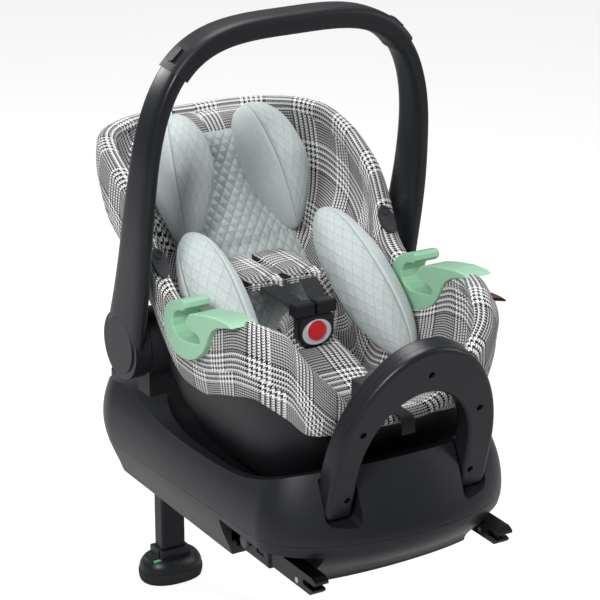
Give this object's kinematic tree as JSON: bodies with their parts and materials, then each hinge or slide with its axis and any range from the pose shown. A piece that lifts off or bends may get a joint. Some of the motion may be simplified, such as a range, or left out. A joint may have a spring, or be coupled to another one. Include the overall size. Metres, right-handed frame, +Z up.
{
  "type": "infant car seat",
  "caption": "Rear-facing infant carrier with carrying handle, harness and padded insert, docked on an anchor base with rebound bar and support leg.",
  "frame": {"origin": "on the floor, under the middle of the seat's box", "axes": "+Z up, +Y towards the child's head end and the support leg, +X to the child's left"},
  "size_m": [0.4372, 0.7452, 0.9615],
  "materials": {
    "base_black": "satin moulded, finely grained",
    "black_gloss": "smooth",
    "dark_grey": "satin",
    "frame_steel": "black powder coat",
    "bright_steel": "brushed",
    "leg_metal": "satin black",
    "release_grey": "satin",
    "green_lens": "clear lens",
    "mint_plastic": "satin",
    "check_fabric": "woven glen check, black on pale grey",
    "mint_fabric": "pale melange jersey, quilted",
    "webbing": "narrow woven webbing",
    "foam": "expanded bead foam",
    "rubber_sole": "matte",
    "red_button": "smooth",
    "silver_face": "satin silver grey"
  },
  "bodies": {
    "base": {"base_upper_cover": "base_black", "base_lower_housing": "base_black", "base_frame": "frame_steel", "base_screws": "bright_steel", "rebound_bar_front": "base_black", "rebound_bar_rear": "base_black", "rebound_bar_screws": "bright_steel", "leg_pivot_pin": "bright_steel"},
    "docking_release": {"docking_latch": "bright_steel", "release_handle": "release_grey"},
    "leg_outer": {"leg_outer_tube": "leg_metal", "leg_collar": "base_black"},
    "leg_button": {"leg_height_button": "release_grey"},
    "leg_inner": {"leg_inner_tube": "leg_metal", "foot_shell": "base_black", "foot_sole": "rubber_sole", "foot_indicators": "green_lens"},
    "connector_left": {"isofix_arm_left": "frame_steel", "isofix_housing_left": "base_black"},
    "connector_right": {"isofix_arm_right": "frame_steel", "isofix_housing_right": "base_black"},
    "hook_left": {"isofix_hook_left": "bright_steel"},
    "hook_right": {"isofix_hook_right": "bright_steel"},
    "release_left": {"isofix_release_left": "dark_grey"},
    "release_right": {"isofix_release_right": "dark_grey"},
    "carrier": {"carrier_shell": "base_black", "foam_liner": "foam", "seat_cover": "check_fabric", "docking_rods": "bright_steel", "insert_back": "mint_fabric", "insert_seat": "mint_fabric", "bolster_left": "mint_fabric", "bolster_right": "mint_fabric", "shoulder_strap_left": "webbing", "shoulder_strap_right": "webbing", "shoulder_pad_left": "check_fabric", "shoulder_pad_right": "check_fabric", "buckle_body": "black_gloss", "buckle_face": "silver_face", "buckle_tongues": "bright_steel", "crotch_strap": "webbing", "crotch_pad": "check_fabric", "adjuster_strap": "webbing", "belt_guide_left": "mint_plastic", "belt_guide_right": "mint_plastic", "hood_mounts": "dark_grey", "hub_bosses": "base_black", "hub_pins": "bright_steel"},
    "buckle_press": {"buckle_button": "red_button"},
    "adjuster_press": {"adjuster_button": "dark_grey"},
    "tab_left": {"adapter_release_left": "dark_grey"},
    "tab_right": {"adapter_release_right": "dark_grey"},
    "headrest": {"headrest_pad": "mint_fabric", "head_wing_left": "mint_fabric", "head_wing_right": "mint_fabric"},
    "handle": {"handle_arch": "base_black", "handle_grip": "rubber_sole", "hub_caps": "base_black"},
    "grip_button_left": {"handle_button_left": "dark_grey"},
    "grip_button_right": {"handle_button_right": "dark_grey"}
  },
  "joints": [
    {"name": "docking_release_slide", "type": "slide", "parent": "base", "child": "docking_release", "axis": [0, -1, 0], "range_m": [0, 0.01]},
    {"name": "leg_fold", "type": "hinge", "parent": "base", "child": "leg_outer", "pos_m": [0, 0.3354, 0.294], "axis": [-1, 0, 0], "range_deg": [0, 88]},
    {"name": "leg_slide", "type": "slide", "parent": "leg_outer", "child": "leg_inner", "axis": [0, 0, 1], "range_m": [-0.045, 0.06]},
    {"name": "leg_height_press", "type": "slide", "parent": "leg_outer", "child": "leg_button", "axis": [0, -1, 0], "range_m": [0, 0.003], "stiffness_N_per_m": 800},
    {"name": "connector_slide_left", "type": "slide", "parent": "base", "child": "connector_left", "axis": [0, 1, 0], "range_m": [-0.02, 0.06]},
    {"name": "connector_release_left", "type": "slide", "parent": "connector_left", "child": "release_left", "axis": [0, -1, 0], "range_m": [0, 0.008], "stiffness_N_per_m": 900},
    {"name": "hook_turn_left", "type": "hinge", "parent": "connector_left", "child": "hook_left", "pos_m": [0.14, -0.2916, 0.302], "axis": [-1, 0, 0], "range_deg": [0, 12.5]},
    {"name": "connector_slide_right", "type": "slide", "parent": "base", "child": "connector_right", "axis": [0, 1, 0], "range_m": [-0.02, 0.06]},
    {"name": "connector_release_right", "type": "slide", "parent": "connector_right", "child": "release_right", "axis": [0, -1, 0], "range_m": [0, 0.008], "stiffness_N_per_m": 900},
    {"name": "hook_turn_right", "type": "hinge", "parent": "connector_right", "child": "hook_right", "pos_m": [-0.14, -0.2916, 0.302], "axis": [-1, 0, 0], "range_deg": [0, 12.5]},
    {"name": "carrier_lift", "type": "slide", "parent": "base", "child": "carrier", "axis": [0, 0, 1], "range_m": [0, 0.25]},
    {"name": "handle_turn", "type": "hinge", "parent": "carrier", "child": "handle", "pos_m": [0, 0.0544, 0.516], "axis": [1, 0, 0], "range_deg": [-100, 35]},
    {"name": "buckle_press", "type": "slide", "parent": "carrier", "child": "buckle_press", "axis": [0, 1, 0], "range_m": [0, 0.0025], "stiffness_N_per_m": 900},
    {"name": "adjuster_press", "type": "slide", "parent": "carrier", "child": "adjuster_press", "axis": [0, 0, -1], "range_m": [0, 0.004], "stiffness_N_per_m": 700},
    {"name": "adapter_tab_left", "type": "slide", "parent": "carrier", "child": "tab_left", "axis": [0, -0.7071, -0.7071], "range_m": [0, 0.004], "stiffness_N_per_m": 800},
    {"name": "adapter_tab_right", "type": "slide", "parent": "carrier", "child": "tab_right", "axis": [0, -0.7071, -0.7071], "range_m": [0, 0.004], "stiffness_N_per_m": 800},
    {"name": "headrest_height", "type": "slide", "parent": "carrier", "child": "headrest", "axis": [0, 0.5635, 0.8261], "range_m": [0, 0.03]},
    {"name": "grip_press_left", "type": "slide", "parent": "handle", "child": "grip_button_left", "axis": [-0.6823, 0, -0.731], "range_m": [0, 0.003], "stiffness_N_per_m": 800},
    {"name": "grip_press_right", "type": "slide", "parent": "handle", "child": "grip_button_right", "axis": [0.6823, 0, -0.731], "range_m": [0, 0.003], "stiffness_N_per_m": 800}
  ],
  "couplings": [
    {"joint": "hook_turn_left", "follows": "connector_release_left", "rad_per_m": 26.18},
    {"joint": "hook_turn_right", "follows": "connector_release_right", "rad_per_m": 26.18}
  ]
}
